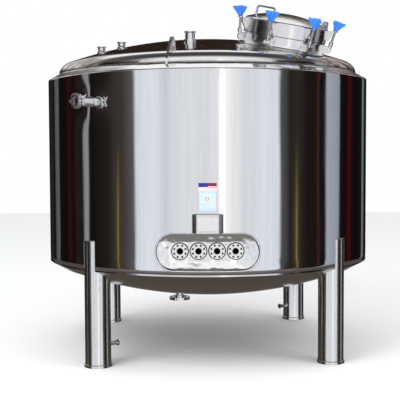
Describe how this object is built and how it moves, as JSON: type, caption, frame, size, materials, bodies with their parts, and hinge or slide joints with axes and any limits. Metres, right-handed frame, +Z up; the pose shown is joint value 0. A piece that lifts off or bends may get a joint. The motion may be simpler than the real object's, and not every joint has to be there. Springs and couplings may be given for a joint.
{
  "type": "bulk milk tank",
  "caption": "Insulated polished steel milk storage tank on tubular legs, with clamped manway cover, recessed instrument panel, top stubs, side nozzle and bottom outlet.",
  "frame": {"origin": "tank axis at floor level, under the middle of the legs", "axes": "+Z up along the tank axis, -Y towards the front with the instrument panel, +X to the right seen from the front"},
  "size_m": [2.2858, 2.3516, 2.3324],
  "materials": {
    "mirror_steel": "mirror-polished stainless sheet",
    "polished_steel": "bright polished stainless",
    "pressed_steel": "polished stainless pressing",
    "vessel_steel": "2B mill finish stainless",
    "foam": "rigid polyurethane foam",
    "satin_steel": "satin stainless",
    "leg_steel": "polished stainless pipe with fine lengthwise grain",
    "bright_fasteners": "bright turned stainless",
    "nameplate_metal": "etched plate, blank",
    "label_vinyl": "printed vinyl, colour bands only",
    "gasket_rubber": "food-grade rubber",
    "cast_clamp": "cast stainless, tumbled",
    "brushed_steel": "brushed stainless",
    "knob_plastic": "moulded blue plastic"
  },
  "bodies": {
    "tank": {"bottom_cladding": "mirror_steel", "bottom_head": "vessel_steel", "bottom_outlet": "satin_steel", "cladding_vent_plug": "satin_steel", "clamp_bolt_and_pin": "bright_fasteners", "clamp_half_lower": "cast_clamp", "clamp_half_upper": "cast_clamp", "cooling_jacket": "vessel_steel", "earthing_bosses": "satin_steel", "foot_plates": "satin_steel", "hinge_bracket": "satin_steel", "hinge_pin": "bright_fasteners", "inner_vessel_wall": "vessel_steel", "instrument_ports": "satin_steel", "insulation_foam": "foam", "jacket_ports": "satin_steel", "labels": "label_vinyl", "large_top_ferrule": "satin_steel", "leg_caps": "leg_steel", "leg_tubes": "leg_steel", "lifting_lugs": "satin_steel", "manway_neck": "brushed_steel", "nameplate": "nameplate_metal", "nameplate_bracket": "satin_steel", "neck_lugs": "satin_steel", "nozzle_cap": "satin_steel", "nozzle_gasket": "gasket_rubber", "outer_shell": "mirror_steel", "port_recess": "pressed_steel", "port_screws": "bright_fasteners", "side_nozzle": "satin_steel", "small_top_ferrules": "satin_steel", "spray_lance": "satin_steel", "swing_bolt_pins": "bright_fasteners", "top_head": "polished_steel", "top_shoulder": "mirror_steel"},
    "cover": {"manway_cover": "brushed_steel", "cover_gasket": "gasket_rubber", "cover_ears": "satin_steel", "cover_handle": "satin_steel", "hinge_arm": "satin_steel"},
    "swing_bolt_1": {"swing_bolt_1": "bright_fasteners"},
    "clamp_washer_1": {"clamp_washer_1": "bright_fasteners"},
    "clamp_knob_1": {"clamp_knob_1": "knob_plastic"},
    "swing_bolt_2": {"swing_bolt_2": "bright_fasteners"},
    "clamp_washer_2": {"clamp_washer_2": "bright_fasteners"},
    "clamp_knob_2": {"clamp_knob_2": "knob_plastic"},
    "swing_bolt_3": {"swing_bolt_3": "bright_fasteners"},
    "clamp_washer_3": {"clamp_washer_3": "bright_fasteners"},
    "clamp_knob_3": {"clamp_knob_3": "knob_plastic"},
    "swing_bolt_4": {"swing_bolt_4": "bright_fasteners"},
    "clamp_washer_4": {"clamp_washer_4": "bright_fasteners"},
    "clamp_knob_4": {"clamp_knob_4": "knob_plastic"},
    "wing_nut": {"wing_nut": "cast_clamp"}
  },
  "joints": [
    {"name": "cover_hinge", "type": "hinge", "parent": "tank", "child": "cover", "pos_m": [0.79181, -0.3882, 2.24992], "axis": [-0.6352, 0.729, 0.2551], "range_deg": [0, 105]},
    {"name": "swing_bolt_1_swing", "type": "hinge", "parent": "tank", "child": "swing_bolt_1", "pos_m": [0.21204, -0.67196, 2.13411], "axis": [0.2452, -0.9416, -0.231], "range_deg": [-7.8, 75]},
    {"name": "clamp_1_travel", "type": "slide", "parent": "swing_bolt_1", "child": "clamp_washer_1", "axis": [0.0345, -0.2296, 0.9727], "range_m": [0, 0.01001]},
    {"name": "clamp_knob_1_turn", "type": "hinge", "parent": "clamp_washer_1", "child": "clamp_knob_1", "pos_m": [0.21204, -0.67196, 2.13411], "axis": [0.0345, -0.2296, 0.9727], "range_deg": [0, 1800]},
    {"name": "swing_bolt_2_swing", "type": "hinge", "parent": "tank", "child": "swing_bolt_2", "pos_m": [0.37951, -0.86418, 2.06684], "axis": [0.8995, -0.3722, -0.2288], "range_deg": [-7.8, 75]},
    {"name": "clamp_2_travel", "type": "slide", "parent": "swing_bolt_2", "child": "clamp_washer_2", "axis": [0.1093, -0.3154, 0.9426], "range_m": [0, 0.01001]},
    {"name": "clamp_knob_2_turn", "type": "hinge", "parent": "clamp_washer_2", "child": "clamp_knob_2", "pos_m": [0.37951, -0.86418, 2.06684], "axis": [0.1093, -0.3154, 0.9426], "range_deg": [0, 1800]},
    {"name": "swing_bolt_3_swing", "type": "hinge", "parent": "tank", "child": "swing_bolt_3", "pos_m": [0.63944, -0.84884, 2.02537], "axis": [0.8772, 0.4771, -0.0546], "range_deg": [-7.8, 75]},
    {"name": "clamp_3_travel", "type": "slide", "parent": "swing_bolt_3", "child": "clamp_washer_3", "axis": [0.2253, -0.3086, 0.9241], "range_m": [0, 0.01001]},
    {"name": "clamp_knob_3_turn", "type": "hinge", "parent": "clamp_washer_3", "child": "clamp_knob_3", "pos_m": [0.63944, -0.84884, 2.02537], "axis": [0.2253, -0.3086, 0.9241], "range_deg": [0, 1800]},
    {"name": "swing_bolt_4_swing", "type": "hinge", "parent": "tank", "child": "swing_bolt_4", "pos_m": [0.7964, -0.63697, 2.04098], "axis": [0.1933, 0.9678, 0.1611], "range_deg": [-7.8, 75]},
    {"name": "clamp_4_travel", "type": "slide", "parent": "swing_bolt_4", "child": "clamp_washer_4", "axis": [0.2954, -0.214, 0.9311], "range_m": [0, 0.01001]},
    {"name": "clamp_knob_4_turn", "type": "hinge", "parent": "clamp_washer_4", "child": "clamp_knob_4", "pos_m": [0.7964, -0.63697, 2.04098], "axis": [0.2954, -0.214, 0.9311], "range_deg": [0, 1800]},
    {"name": "wing_nut_turn", "type": "hinge", "parent": "tank", "child": "wing_nut", "pos_m": [-0.76447, -1.00596, 1.719], "axis": [0, 0, 1], "continuous": true}
  ],
  "couplings": [
    {"joint": "clamp_1_travel", "follows": "clamp_knob_1_turn", "m_per_rad": 0.00031831},
    {"joint": "clamp_2_travel", "follows": "clamp_knob_2_turn", "m_per_rad": 0.00031831},
    {"joint": "clamp_3_travel", "follows": "clamp_knob_3_turn", "m_per_rad": 0.00031831},
    {"joint": "clamp_4_travel", "follows": "clamp_knob_4_turn", "m_per_rad": 0.00031831}
  ]
}
